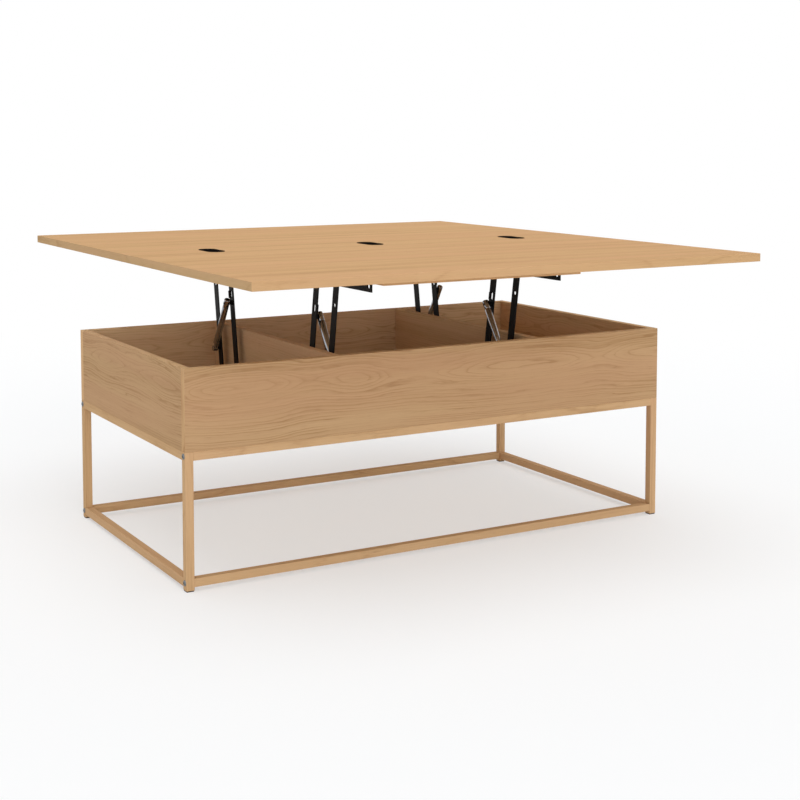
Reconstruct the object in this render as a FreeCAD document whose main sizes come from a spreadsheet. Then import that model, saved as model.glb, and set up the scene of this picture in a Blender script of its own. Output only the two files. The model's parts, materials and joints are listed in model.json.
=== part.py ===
import FreeCAD, Part

import os
import re

# Convertible coffee table, raised and unfolded for dining.
# An open storage box stands on a slender bar frame. Two lift linkages in the middle compartment carry the
# front leaf, two more in the outer compartments hold up the back leaf, and low hinges join the leaves.
# Frame: +Z up, X along the table's length, the front towards -Y, origin on the floor under the middle.

# Driving sizes in millimetres, and the lean in degrees.
SIZES = {
    # Leaves
    "leaf_length": 1100,
    "leaf_depth": 605,
    "leaf_thickness": 16,
    "seam_gap": 1.2,
    "leaf_edge_round": 1.0,
    # Storage box
    "box_length": 1094,
    "box_depth": 602,
    "box_height": 152.5,
    "panel_thickness": 16,
    "floor_thickness": 8,
    "divider_thickness": 16,
    "divider_clear_width": 452,
    "panel_edge_round": 0.8,
    # Bar frame
    "underframe_height": 257.5,
    "bar_width": 16,
    "bar_edge_round": 0.8,
    "rail_lift": 8,
    "foot_height": 2,
    "foot_inset": 1,
    "bolt_diameter": 6,
    "bolt_reach": 24,
    "bolt_head_diameter": 11,
    "bolt_head_top_diameter": 8,
    "bolt_head_height": 2.4,
    "bolt_fit": 0.1,
    # Lift linkage
    "arm_length": 281,
    "arm_width": 20,
    "arm_thickness": 2.5,
    "arm_spacing": 84,
    "arm_stand_off": 13,
    "lean_angle": 9,
    "lead_pivot_setback": 92.5,
    "pivot_height": 18,
    "pivot_diameter": 8,
    "pivot_fit": 0.1,
    "pivot_head_diameter": 14,
    "pivot_head_height": 2.2,
    "side_gap": 0.3,
    "lead_hole_diameter": 8,
    "lead_hole_height": 219,
    "slot_length": 16,
    "slot_width": 7,
    "slot_height": 204,
    "tab_reach": 3.8,
    "tab_thickness": 2.5,
    # Brackets
    "bracket_thickness": 2.5,
    "base_bracket_height": 54,
    "base_bracket_margin": 30,
    "boss_diameter": 18,
    "stop_pin_diameter": 8,
    "stop_pin_height": 30,
    "top_bracket_drop": 18,
    "top_bracket_height": 40,
    "top_bracket_width": 25,
    "top_bracket_nose": 144,
    "top_bracket_tail": 18,
    "top_bracket_hole_diameter": 9,
    "top_bracket_hole_inset": 11,
    "support_clearance": 0.5,
    "batten_length": 444,
    "batten_depth": 54,
    "batten_thickness": 22,
    "batten_gap": 3,
    # Wood screws
    "screw_diameter": 4,
    "screw_length": 12,
    "screw_head_diameter": 8,
    "screw_head_height": 2,
    "screw_inset": 10,
    "screw_fit": 0.1,
    # Tension struts
    "strut_lead_height": 77,
    "strut_trail_height": 186,
    "strut_diameter": 13.4,
    "strut_spacer": 5,
    "strut_cap": 9,
    "strut_bore_end": 9,
    "strut_tube_reach": 112,
    "rod_diameter": 8,
    "rod_fit": 0.2,
    "rod_end_play": 2,
    "rod_eye_diameter": 12,
    "rod_eye_width": 9,
    "stud_diameter": 6,
    "stud_fit": 0.1,
    "stud_collar_diameter": 10,
    "stud_end_inset": 1,
    "open_pivot_gap": 0.4,
    # Leaf hinges: cups let into the tops, under low plates
    "hinge_length": 80,
    "hinge_width": 36,
    "cup_depth": 6,
    "cup_setback": 1,
    "cup_fit": 0.1,
    "plate_rise": 1,
    "hinge_pin_diameter": 2.4,
    "hinge_pin_fit": 0.1,
    "hinge_pin_reach": 6,
    "hinge_pin_offset": 3.2,
    "hinge_pin_depth": 2,
    "link_width": 22,
    "link_radius": 1.9,
    "link_clearance": 0.3,
    "hinge_screw_diameter": 3.5,
    "hinge_screw_head_diameter": 7,
    "hinge_screw_head_depth": 2,
    "hinge_screw_length": 13,
    "hinge_screw_spread": 16,
    "hinge_screw_setback": 22,
    # How far a cutting tool runs past the face that it leaves
    "overrun": 1,
}

# Where the hinges sit along a leaf, and the screws along a top bracket.
HINGE_SHARES = (-1 / 3, 0, 1 / 3)
BRACKET_SCREW_SHARES = (0.08, 0.36, 0.64, 0.92)

# Which way along X or Y a mirrored piece faces.
SIDES = {"left": -1, "right": 1}
ENDS = {"front": -1, "back": 1}

X_AXIS = FreeCAD.Vector(1, 0, 0)
LYING_ALONG_X = FreeCAD.Rotation(FreeCAD.Vector(0, 1, 0), 90)
LYING_AGAINST_X = FreeCAD.Rotation(FreeCAD.Vector(0, 1, 0), -90)
UPRIGHT = FreeCAD.Rotation()
UPSIDE_DOWN = FreeCAD.Rotation(X_AXIS, 180)

# Heights and distances that follow from the driving sizes.
SIN_LEAN = "sin(lean_angle * 1deg)"
COS_LEAN = "cos(lean_angle * 1deg)"
BOX_FLOOR = "(underframe_height + floor_thickness)"
RIM = "(underframe_height + box_height)"
PIVOT_Z = f"({BOX_FLOOR} + pivot_height)"
TOP_PIVOT_Z = f"({PIVOT_Z} + arm_length * {COS_LEAN})"
LEAF_BOTTOM = f"({TOP_PIVOT_Z} + top_bracket_drop)"
LEAF_TOP = f"({LEAF_BOTTOM} + leaf_thickness)"
BOX_INSIDE_DEPTH = "(box_depth - 2 * panel_thickness)"
BOX_INSIDE_LENGTH = "(box_length - 2 * panel_thickness)"
RAIL_LENGTH = "(box_length - 2 * bar_width)"
END_RAIL_LENGTH = "(box_depth - 2 * bar_width)"
TOP_RAIL_Z = "(underframe_height - bar_width)"
ARM_OUTER = "(arm_stand_off + arm_thickness)"
FLANGE_INNER = "(arm_stand_off - side_gap - bracket_thickness)"
STRUT_LAYER = f"({ARM_OUTER} + strut_spacer + strut_diameter / 2)"
STRUT_RUN = f"(arm_spacing - (strut_trail_height - strut_lead_height) * {SIN_LEAN})"
STRUT_RISE = f"((strut_trail_height - strut_lead_height) * {COS_LEAN})"
STRUT_LENGTH = f"sqrt({STRUT_RUN} * {STRUT_RUN} + {STRUT_RISE} * {STRUT_RISE})"
TOP_BRACKET_LENGTH = "(arm_spacing + top_bracket_nose + top_bracket_tail)"

doc = FreeCAD.newDocument("convertible_coffee_table")
sheet = doc.addObject("Spreadsheet::Sheet", "Sizes")
for row, (alias, value) in enumerate(SIZES.items(), start=1):
    sheet.set(f"A{row}", alias)
    sheet.set(f"B{row}", str(value))
    sheet.setAlias(f"B{row}", alias)
doc.recompute()

nodes = []


def formula(text):
    """The text with every size's name pointing at its cell in the sheet."""
    return re.sub(r"[a-z_]+", lambda word: f"Sizes.{word[0]}" if word[0] in SIZES else word[0], text)


def bind(thing, **sizes):
    for name, text in sizes.items():
        thing.setExpression(name, formula(text))


def place(thing, at, turn=UPRIGHT):
    thing.Placement = FreeCAD.Placement(FreeCAD.Vector(), turn)
    for axis, text in zip("xyz", at):
        thing.setExpression(f"Placement.Base.{axis}", formula(text))


def body(label, at=("0", "0", "0")):
    made = doc.addObject("PartDesign::Body", label)
    place(made, at)
    return made


def tilted_body(label, at, axis, angle):
    """A body whose Z leans by the angle about the axis."""
    made = doc.addObject("PartDesign::Body", label)
    place(made, at, FreeCAD.Rotation(axis, SIZES["lean_angle"]))
    made.setExpression("Placement.Rotation.Angle", formula(angle))
    return made


def block(owner, size, at, cut=False):
    kind = "PartDesign::SubtractiveBox" if cut else "PartDesign::AdditiveBox"
    made = owner.newObject(kind, f"{owner.Label}_block")
    bind(made, Length=size[0], Width=size[1], Height=size[2])
    place(made, at)
    return made


def drum(owner, diameter, height, at, turn=LYING_ALONG_X, cut=False):
    kind = "PartDesign::SubtractiveCylinder" if cut else "PartDesign::AdditiveCylinder"
    made = owner.newObject(kind, f"{owner.Label}_drum")
    bind(made, Radius=f"({diameter}) / 2", Height=height)
    place(made, at, turn)
    return made


def countersink(owner, low_diameter, high_diameter, height, at):
    made = owner.newObject("PartDesign::SubtractiveCone", f"{owner.Label}_countersink")
    bind(made, Radius1=f"({low_diameter}) / 2", Radius2=f"({high_diameter}) / 2", Height=height)
    place(made, at)
    return made


def round_edges(owner, base, radius):
    doc.recompute()
    made = owner.newObject("PartDesign::Fillet", f"{owner.Label}_rounding")
    made.Base = (base, [""])
    made.UseAllEdges = True
    bind(made, Radius=radius)
    return made


def board(label, size, at, radius):
    """A squared board or bar with eased edges, its low corner at the place."""
    made = body(label, at)
    round_edges(made, block(made, size, ("0", "0", "0")), radius)
    nodes.append(made)
    return made


def pin(label, diameter, height, at, turn=LYING_ALONG_X):
    made = doc.addObject("Part::Cylinder", label)
    bind(made, Radius=f"({diameter}) / 2", Height=height)
    place(made, at, turn)
    return made


def cone(label, low_diameter, high_diameter, height, at, turn=UPRIGHT):
    made = doc.addObject("Part::Cone", label)
    bind(made, Radius1=f"({low_diameter}) / 2", Radius2=f"({high_diameter}) / 2", Height=height)
    place(made, at, turn)
    return made


def joined(label, pieces):
    """One solid out of pieces that meet."""
    made = doc.addObject("Part::MultiFuse", label)
    made.Shapes = pieces
    made.Refine = True
    return made


def group(label, pieces):
    """A node that holds several separate solids."""
    made = doc.addObject("Part::Compound", label)
    made.Links = pieces
    nodes.append(made)
    return made


def outward(face, out, start):
    """The X of a point that stands off a face, out being +1 or -1."""
    return f"{face} + {out} * ({start})"


def outward_low(face, out, start, length):
    """The lower X of a stretch that begins at a stand-off from a face."""
    return outward(face, out, start if out > 0 else f"{start} + {length}")


def lying(out):
    return LYING_ALONG_X if out > 0 else LYING_AGAINST_X


# Bar frame
def corner_x(side, width):
    return f"{side} * box_length / 2" if side < 0 else f"box_length / 2 - {width}"


def corner_y(end, width):
    return f"{end} * box_depth / 2" if end < 0 else f"box_depth / 2 - {width}"


RAIL_HEIGHTS = {"top": TOP_RAIL_Z, "bottom": "rail_lift"}
BOLT_BORE = "bolt_diameter + bolt_fit"


def leg(label, side, end):
    made = board(
        label,
        ("bar_width", "bar_width", "underframe_height - foot_height"),
        (corner_x(side, "bar_width"), corner_y(end, "bar_width"), "foot_height"),
        "bar_edge_round",
    )
    for height in RAIL_HEIGHTS.values():
        at = ("-overrun", "bar_width / 2", f"{height} + bar_width / 2 - foot_height")
        drum(made, BOLT_BORE, "bar_width + 2 * overrun", at, cut=True)


def long_rail(label, end, height):
    made = board(
        label,
        (RAIL_LENGTH, "bar_width", "bar_width"),
        (f"-{RAIL_LENGTH} / 2", corner_y(end, "bar_width"), height),
        "bar_edge_round",
    )
    for start in ("-overrun", f"{RAIL_LENGTH} - bolt_reach"):
        at = (start, "bar_width / 2", "bar_width / 2")
        drum(made, BOLT_BORE, "bolt_reach + overrun", at, cut=True)


def end_rail(label, side, height):
    board(
        label,
        ("bar_width", END_RAIL_LENGTH, "bar_width"),
        (corner_x(side, "bar_width"), f"-{END_RAIL_LENGTH} / 2", height),
        "bar_edge_round",
    )


def foot_pad(label, side, end):
    made = doc.addObject("Part::Box", label)
    width = "bar_width - 2 * foot_inset"
    bind(made, Length=width, Width=width, Height="foot_height")
    x = f"{corner_x(side, 'bar_width')} + foot_inset"
    y = f"{corner_y(end, 'bar_width')} + foot_inset"
    place(made, (x, y, "0"))
    return made


def frame_bolt(label, side, end, height):
    """A bolt through a leg into the end of a long rail, its domed head on the leg's end face."""
    y = f"{corner_y(end, 'bar_width')} + bar_width / 2"
    z = f"{height} + bar_width / 2"
    face = f"{side} * box_length / 2"
    shank_length = "bar_width + bolt_reach - overrun"
    shank = pin(f"{label}_shank", "bolt_diameter", shank_length, (face, y, z), lying(-side))
    head = cone(
        f"{label}_head",
        "bolt_head_diameter",
        "bolt_head_top_diameter",
        "bolt_head_height",
        (face, y, z),
        lying(side),
    )
    return joined(label, [shank, head])


def build_frame():
    pads = []
    bolts = []
    for end_name, end in ENDS.items():
        for side_name, side in SIDES.items():
            leg(f"{end_name}_{side_name}_leg", side, end)
            pads.append(foot_pad(f"{end_name}_{side_name}_foot_pad", side, end))
            for level, height in RAIL_HEIGHTS.items():
                bolts.append(frame_bolt(f"{end_name}_{side_name}_{level}_bolt", side, end, height))
    for level, height in RAIL_HEIGHTS.items():
        for end_name, end in ENDS.items():
            long_rail(f"{level}_{end_name}_rail", end, height)
        for side_name, side in SIDES.items():
            end_rail(f"{level}_{side_name}_rail", side, height)
    group("foot_pads", pads)
    group("frame_bolts", bolts)


# Storage box
def build_box():
    for end_name, end in ENDS.items():
        board(
            f"{end_name}_panel",
            ("box_length", "panel_thickness", "box_height"),
            ("-box_length / 2", corner_y(end, "panel_thickness"), "underframe_height"),
            "panel_edge_round",
        )
    for side_name, side in SIDES.items():
        board(
            f"{side_name}_end_panel",
            ("panel_thickness", BOX_INSIDE_DEPTH, "box_height"),
            (corner_x(side, "panel_thickness"), f"-{BOX_INSIDE_DEPTH} / 2", "underframe_height"),
            "panel_edge_round",
        )
    board(
        "floor_panel",
        (BOX_INSIDE_LENGTH, BOX_INSIDE_DEPTH, "floor_thickness"),
        (f"-{BOX_INSIDE_LENGTH} / 2", f"-{BOX_INSIDE_DEPTH} / 2", "underframe_height"),
        "panel_edge_round",
    )


def divider_low_x(side):
    return "(-divider_clear_width / 2 - divider_thickness)" if side < 0 else "divider_clear_width / 2"


def build_dividers():
    """Two dividers, each bored for the screws of the two base brackets that it carries."""
    for side_name, side in SIDES.items():
        made = board(
            f"{side_name}_divider",
            ("divider_thickness", BOX_INSIDE_DEPTH, f"{RIM} - {BOX_FLOOR}"),
            (divider_low_x(side), f"-{BOX_INSIDE_DEPTH} / 2", BOX_FLOOR),
            "panel_edge_round",
        )
        for lift in LIFTS:
            if lift.side == side:
                for y, z in lift.base_screw_places():
                    start = f"{lift.face} - {divider_low_x(side)}"
                    x = outward(start, lift.out, "overrun")
                    at = (x, f"{y} + {BOX_INSIDE_DEPTH} / 2", f"{z} - {BOX_FLOOR}")
                    depth = "screw_length - bracket_thickness + 2 * overrun"
                    drum(made, "screw_diameter + screw_fit", depth, at, lying(-lift.out), cut=True)


class Lift:
    """One lift linkage: two parallel arms between a bracket on a divider and a bracket under a leaf."""

    def __init__(self, name, side, end):
        self.name = name
        self.side = side
        self.end = end
        # The front pair stands inside the dividers, the back pair outside them.
        self.out = side * end
        self.face = f"{side} * divider_clear_width / 2"
        if end > 0:
            self.face = f"{self.face} + {side} * divider_thickness"
        self.lead_y = f"{end} * (box_depth / 2 - lead_pivot_setback)"
        self.trail_y = f"{self.lead_y} - {end} * arm_spacing"
        self.lean_axis = FreeCAD.Vector(-end, 0, 0)
        # The front pair is screwed to its leaf, and the back leaf rests loosely on the back pair.
        self.top = LEAF_BOTTOM if end < 0 else f"({LEAF_BOTTOM} - support_clearance)"

    def low_y(self, first, second):
        """Whichever of two places lies further to the front, first being nearer this linkage's end."""
        return first if self.end < 0 else second

    def swung(self, pivot_y, height):
        """The Y and Z of a point at a height along an arm."""
        return f"{pivot_y} + {self.end} * ({height}) * {SIN_LEAN}", f"{PIVOT_Z} + ({height}) * {COS_LEAN}"

    def layer(self, start, length):
        return outward_low(self.face, self.out, start, length)

    def bracket_low_y(self):
        return self.low_y(f"{self.lead_y} - base_bracket_margin", f"{self.trail_y} - base_bracket_margin")

    def base_screw_places(self):
        """A low screw at each end of the base bracket, and high ones clear of the stop pin."""
        lead_end = f"{self.lead_y} + {self.end} * (base_bracket_margin - screw_inset)"
        trail_end = f"{self.trail_y} - {self.end} * (base_bracket_margin - screw_inset)"
        middle = f"{self.lead_y} - {self.end} * arm_spacing / 2"
        low = f"{BOX_FLOOR} + screw_inset"
        high = f"{BOX_FLOOR} + base_bracket_height - screw_inset"
        return [(lead_end, low), (trail_end, low), (middle, high), (trail_end, high)]

    def top_bracket_low_y(self):
        nose = f"{self.swung(self.lead_y, 'arm_length')[0]} + {self.end} * top_bracket_nose"
        tail = f"{self.swung(self.trail_y, 'arm_length')[0]} - {self.end} * top_bracket_tail"
        return self.low_y(nose, tail)

    def top_screw_places(self):
        """Screws through the flat flange, outside the arms."""
        x = outward(self.face, self.out, f"{FLANGE_INNER} + top_bracket_width - screw_head_diameter")
        low_y = self.top_bracket_low_y()
        return [(x, f"{low_y} + {share} * {TOP_BRACKET_LENGTH}") for share in BRACKET_SCREW_SHARES]

    def base_bracket(self):
        made = body(f"{self.name}_base_bracket")
        size = ("bracket_thickness", "arm_spacing + 2 * base_bracket_margin", "base_bracket_height")
        block(made, size, (self.layer("0", "bracket_thickness"), self.bracket_low_y(), BOX_FLOOR))
        boss_end = "(arm_stand_off - side_gap)"
        for pivot_y in (self.lead_y, self.trail_y):
            drum(made, "boss_diameter", boss_end, (self.layer("0", boss_end), pivot_y, PIVOT_Z))
            at = (self.layer("-overrun", f"{boss_end} + 2 * overrun"), pivot_y, PIVOT_Z)
            drum(made, "pivot_diameter + pivot_fit", f"{boss_end} + 2 * overrun", at, cut=True)
        for y, z in self.base_screw_places():
            at = (self.layer("-overrun", "bracket_thickness + 2 * overrun"), y, z)
            drum(made, "screw_diameter + screw_fit", "bracket_thickness + 2 * overrun", at, cut=True)
        nodes.append(made)

    def base_screws(self):
        screws = []
        for number, (y, z) in enumerate(self.base_screw_places(), start=1):
            label = f"{self.name}_base_screw_{number}"
            seat = (outward(self.face, self.out, "bracket_thickness"), y, z)
            shank = pin(f"{label}_shank", "screw_diameter", "screw_length", seat, lying(-self.out))
            head = pin(f"{label}_head", "screw_head_diameter", "screw_head_height", seat, lying(self.out))
            screws.append(joined(label, [shank, head]))
        return screws

    def base_pins(self):
        """Rivets that the arms turn on, and the pin that stops the leading arm."""
        made = []
        for name, pivot_y in (("lead", self.lead_y), ("trail", self.trail_y)):
            label = f"{self.name}_{name}_base_rivet"
            head_start = f"{ARM_OUTER} + side_gap"
            start = (self.face, pivot_y, PIVOT_Z)
            shank = pin(f"{label}_shank", "pivot_diameter", head_start, start, lying(self.out))
            seat = (outward(self.face, self.out, head_start), pivot_y, PIVOT_Z)
            head = pin(f"{label}_head", "pivot_head_diameter", "pivot_head_height", seat, lying(self.out))
            made.append(joined(label, [shank, head]))
        ahead = "(arm_width / 2 + side_gap + stop_pin_diameter / 2)"
        y, z = self.swung(self.lead_y, "stop_pin_height")
        at = (
            outward(self.face, self.out, "bracket_thickness"),
            f"{y} + {self.end} * {ahead} * {COS_LEAN}",
            f"{z} - {ahead} * {SIN_LEAN}",
        )
        length = f"{ARM_OUTER} - bracket_thickness"
        made.append(pin(f"{self.name}_stop_pin", "stop_pin_diameter", length, at, lying(self.out)))
        return made

    def plain_arm(self, label, pivot_y):
        """A flat strip with round ends, in its own upright frame about the base pivot."""
        made = tilted_body(label, ("0", pivot_y, PIVOT_Z), self.lean_axis, "lean_angle * 1deg")
        x = self.layer("arm_stand_off", "arm_thickness")
        block(made, ("arm_thickness", "arm_width", "arm_length"), (x, "-arm_width / 2", "0"))
        for height in ("0", "arm_length"):
            drum(made, "arm_width", "arm_thickness", (x, "0", height))
        for height in ("0", "arm_length"):
            self.bore(made, "pivot_diameter + pivot_fit", height)
        nodes.append(made)
        return made

    def bore(self, arm, diameter, height):
        x = self.layer("arm_stand_off - overrun", "arm_thickness + 2 * overrun")
        drum(arm, diameter, "arm_thickness + 2 * overrun", (x, "0", height), cut=True)

    def lead_arm(self):
        """The leading arm, with a stud that stops just short of the strut's eye."""
        made = self.plain_arm(f"{self.name}_lead_arm", self.lead_y)
        self.bore(made, "lead_hole_diameter", "lead_hole_height")
        reach = f"{STRUT_LAYER} - rod_eye_width / 2 - open_pivot_gap - arm_stand_off"
        at = (outward(self.face, self.out, "arm_stand_off"), "0", "strut_lead_height")
        drum(made, "stud_diameter", reach, at, lying(self.out))

    def trail_arm(self):
        """The trailing arm, with a slot, a turned-out tab beside it and the stud that carries the strut."""
        made = self.plain_arm(f"{self.name}_trail_arm", self.trail_y)
        straight = "(slot_length - slot_width)"
        x = self.layer("arm_stand_off - overrun", "arm_thickness + 2 * overrun")
        low = f"slot_height - {straight} / 2"
        size = ("arm_thickness + 2 * overrun", "slot_width", straight)
        block(made, size, (x, "-slot_width / 2", low), cut=True)
        for height in (low, f"slot_height + {straight} / 2"):
            self.bore(made, "slot_width", height)
        # All four trailing arms are one stamping, and where it faces -X it is turned about with its tab.
        tab_y = "-slot_width / 2 - tab_thickness" if self.out > 0 else "slot_width / 2"
        size = ("arm_thickness + tab_reach", "tab_thickness", "slot_length")
        x = self.layer("arm_stand_off", "arm_thickness + tab_reach")
        block(made, size, (x, tab_y, "slot_height - slot_length / 2"))
        collar = "arm_thickness + strut_spacer - side_gap"
        at = (outward(self.face, self.out, "arm_stand_off"), "0", "strut_trail_height")
        drum(made, "stud_collar_diameter", collar, at, lying(self.out))
        reach = "arm_thickness + strut_spacer + strut_diameter - stud_end_inset"
        drum(made, "stud_diameter", reach, at, lying(self.out))

    def top_bracket(self):
        """A steel angle: the upright flange carries the arms, the flat flange lies under the leaf."""
        made = body(f"{self.name}_top_bracket")
        y = self.top_bracket_low_y()
        x = self.layer(FLANGE_INNER, "bracket_thickness")
        size = ("bracket_thickness", TOP_BRACKET_LENGTH, "top_bracket_height")
        block(made, size, (x, y, f"{self.top} - top_bracket_height"))
        size = ("top_bracket_width", TOP_BRACKET_LENGTH, "bracket_thickness")
        x = self.layer(FLANGE_INNER, "top_bracket_width")
        block(made, size, (x, y, f"{self.top} - bracket_thickness"))
        x = self.layer(f"{FLANGE_INNER} - overrun", "bracket_thickness + 2 * overrun")
        depth = "bracket_thickness + 2 * overrun"
        for pivot_y in (self.lead_y, self.trail_y):
            at = (x, self.swung(pivot_y, "arm_length")[0], TOP_PIVOT_Z)
            drum(made, "pivot_diameter + pivot_fit", depth, at, cut=True)
        lead_top_y = self.swung(self.lead_y, "arm_length")[0]
        hole_y = f"{lead_top_y} + {self.end} * (top_bracket_nose - top_bracket_hole_inset)"
        at = (x, hole_y, f"{self.top} - top_bracket_height + top_bracket_hole_inset")
        drum(made, "top_bracket_hole_diameter", depth, at, cut=True)
        if self.end < 0:
            for hole_x, hole_y in self.top_screw_places():
                at = (hole_x, hole_y, f"{self.top} - bracket_thickness - overrun")
                drum(made, "screw_diameter + screw_fit", depth, at, UPRIGHT, cut=True)
        nodes.append(made)

    def top_rivets(self):
        made = []
        for name, pivot_y in (("lead", self.lead_y), ("trail", self.trail_y)):
            label = f"{self.name}_{name}_top_rivet"
            y = self.swung(pivot_y, "arm_length")[0]
            seat = (outward(self.face, self.out, FLANGE_INNER), y, TOP_PIVOT_Z)
            reach = f"({ARM_OUTER} + side_gap - {FLANGE_INNER})"
            shank = pin(f"{label}_shank", "pivot_diameter", reach, seat, lying(self.out))
            head = ("pivot_head_diameter", "pivot_head_height")
            near = pin(f"{label}_near_head", *head, seat, lying(-self.out))
            far_seat = (outward(self.face, self.out, f"{FLANGE_INNER} + {reach}"), y, TOP_PIVOT_Z)
            far = pin(f"{label}_far_head", *head, far_seat, lying(self.out))
            made.append(joined(label, [shank, near, far]))
        return made

    def top_screws(self):
        screws = []
        for number, (x, y) in enumerate(self.top_screw_places(), start=1):
            label = f"{self.name}_top_screw_{number}"
            seat = (x, y, f"{self.top} - bracket_thickness")
            shank = pin(f"{label}_shank", "screw_diameter", "screw_length", seat, UPRIGHT)
            head = pin(f"{label}_head", "screw_head_diameter", "screw_head_height", seat, UPSIDE_DOWN)
            screws.append(joined(label, [shank, head]))
        return screws

    def strut_body(self, label):
        """A body whose Z runs up the strut, its origin on the stud of the trailing arm."""
        y, z = self.swung(self.trail_y, "strut_trail_height")
        x = outward(self.face, self.out, STRUT_LAYER)
        axis = FreeCAD.Vector(self.end, 0, 0)
        return tilted_body(label, (x, y, z), axis, f"atan({STRUT_RUN} / {STRUT_RISE})")

    def strut_tube(self):
        made = self.strut_body(f"{self.name}_strut_tube")
        drum(made, "strut_diameter", "strut_tube_reach + strut_cap", ("0", "0", "-strut_tube_reach"), UPRIGHT)
        bore_length = "strut_tube_reach - strut_bore_end + overrun"
        at = ("0", "0", "-strut_tube_reach - overrun")
        drum(made, "rod_diameter + rod_fit", bore_length, at, UPRIGHT, cut=True)
        width = "strut_diameter + 2 * overrun"
        drum(made, "stud_diameter + stud_fit", width, (f"-({width}) / 2", "0", "0"), cut=True)
        nodes.append(made)

    def strut_rod(self):
        """The sliding rod and its eye, which faces the leading arm's stud across the open pivot's gap."""
        made = self.strut_body(f"{self.name}_strut_rod")
        top = "strut_bore_end + rod_end_play"
        drum(made, "rod_diameter", f"{STRUT_LENGTH} - ({top})", ("0", "0", f"-{STRUT_LENGTH}"), UPRIGHT)
        drum(made, "rod_eye_diameter", "rod_eye_width", ("-rod_eye_width / 2", "0", f"-{STRUT_LENGTH}"))
        return made


LIFTS = [
    Lift("front_left_lift", -1, -1),
    Lift("front_right_lift", 1, -1),
    Lift("back_left_lift", -1, 1),
    Lift("back_right_lift", 1, 1),
]


def build_lifts():
    base_pins = []
    base_screws = []
    for lift in LIFTS:
        lift.base_bracket()
        lift.lead_arm()
        lift.trail_arm()
        lift.top_bracket()
        lift.strut_tube()
        base_pins.extend(lift.base_pins())
        base_screws.extend(lift.base_screws())
    group("base_pivot_pins", base_pins)
    group("base_bracket_screws", base_screws)
    for end_name, end in ENDS.items():
        pair = [lift for lift in LIFTS if lift.end == end]
        group(f"{end_name}_top_rivets", [rivet for lift in pair for rivet in lift.top_rivets()])
        group(f"{end_name}_strut_rods", [lift.strut_rod() for lift in pair])
    front_pair = [lift for lift in LIFTS if lift.end < 0]
    group("front_bracket_screws", [screw for lift in front_pair for screw in lift.top_screws()])


# Leaves, and the hinges in their tops
CUP_END = "(hinge_length / 2 - hinge_width / 2)"
PLATE_TOP = f"({LEAF_TOP} + plate_rise)"


def hinge_screw_places(share, end):
    x = f"{share} * leaf_length"
    y = f"{end} * hinge_screw_setback"
    return [(f"{x} + {side} * hinge_screw_spread / 2", y) for side in SIDES.values()]


def half_oval(owner, share, end, width, setback, bottom, height, cut=False):
    """One leaf's half of a hinge outline, which runs from near the seam to a round end."""
    x = f"{share} * leaf_length"
    low_y = setback if end > 0 else f"-{CUP_END}"
    block(owner, (width, f"{CUP_END} - ({setback})", height), (f"{x} - ({width}) / 2", low_y, bottom), cut)
    drum(owner, width, height, (x, f"{end} * {CUP_END}", bottom), UPRIGHT, cut)


def leaf(label, end):
    made = body(label)
    size = ("leaf_length", "leaf_depth", "leaf_thickness")
    low_y = "seam_gap / 2" if end > 0 else "-seam_gap / 2 - leaf_depth"
    round_edges(made, block(made, size, ("-leaf_length / 2", low_y, LEAF_BOTTOM)), "leaf_edge_round")
    for share in HINGE_SHARES:
        width = "hinge_width + 2 * cup_fit"
        bottom = f"{LEAF_TOP} - cup_depth"
        half_oval(made, share, end, width, "-overrun", bottom, "cup_depth + overrun", cut=True)
        for x, y in hinge_screw_places(share, end):
            at = (x, y, f"{PLATE_TOP} - hinge_screw_length - overrun")
            drum(made, "hinge_screw_diameter + screw_fit", "hinge_screw_length", at, UPRIGHT, cut=True)
    if end < 0:
        for lift in LIFTS:
            if lift.end < 0:
                for x, y in lift.top_screw_places():
                    depth = "screw_length - bracket_thickness + 2 * overrun"
                    at = (x, y, f"{LEAF_BOTTOM} - overrun")
                    drum(made, "screw_diameter + screw_fit", depth, at, UPRIGHT, cut=True)
    nodes.append(made)


def hinge_cup(label, share, end):
    """A die-cast half: a cup under a low plate, with a pocket for the link and a bore for its pin."""
    made = body(label)
    x = f"{share} * leaf_length"
    half_oval(made, share, end, "hinge_width", "cup_setback", f"{LEAF_TOP} - cup_depth", "cup_depth")
    # The plate ends above its pin, so that both halves clear each other while the leaf folds.
    half_oval(made, share, end, "hinge_width", "hinge_pin_offset", LEAF_TOP, "plate_rise")
    pocket_width = "(link_width + 2 * link_clearance)"
    pocket_end = "(hinge_pin_offset + link_radius + link_clearance)"
    pocket_depth = "(hinge_pin_depth + link_radius + link_clearance)"
    low_y = "0" if end > 0 else f"-{pocket_end}"
    size = (pocket_width, pocket_end, f"{pocket_depth} + plate_rise + overrun")
    block(made, size, (f"{x} - {pocket_width} / 2", low_y, f"{LEAF_TOP} - {pocket_depth}"), cut=True)
    bore_length = "(link_width + 2 * hinge_pin_reach + 2 * link_clearance)"
    at = (f"{x} - {bore_length} / 2", f"{end} * hinge_pin_offset", f"{LEAF_TOP} - hinge_pin_depth")
    drum(made, "hinge_pin_diameter + hinge_pin_fit", bore_length, at, cut=True)
    for screw_x, screw_y in hinge_screw_places(share, end):
        at = (screw_x, screw_y, f"{LEAF_TOP} - cup_depth - overrun")
        depth = "cup_depth + plate_rise + 2 * overrun"
        drum(made, "hinge_screw_diameter + screw_fit", depth, at, UPRIGHT, cut=True)
        at = (screw_x, screw_y, f"{PLATE_TOP} - hinge_screw_head_depth")
        narrow = "hinge_screw_diameter + screw_fit"
        wide = "hinge_screw_head_diameter + screw_fit"
        countersink(made, narrow, wide, "hinge_screw_head_depth", at)
    return made


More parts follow.
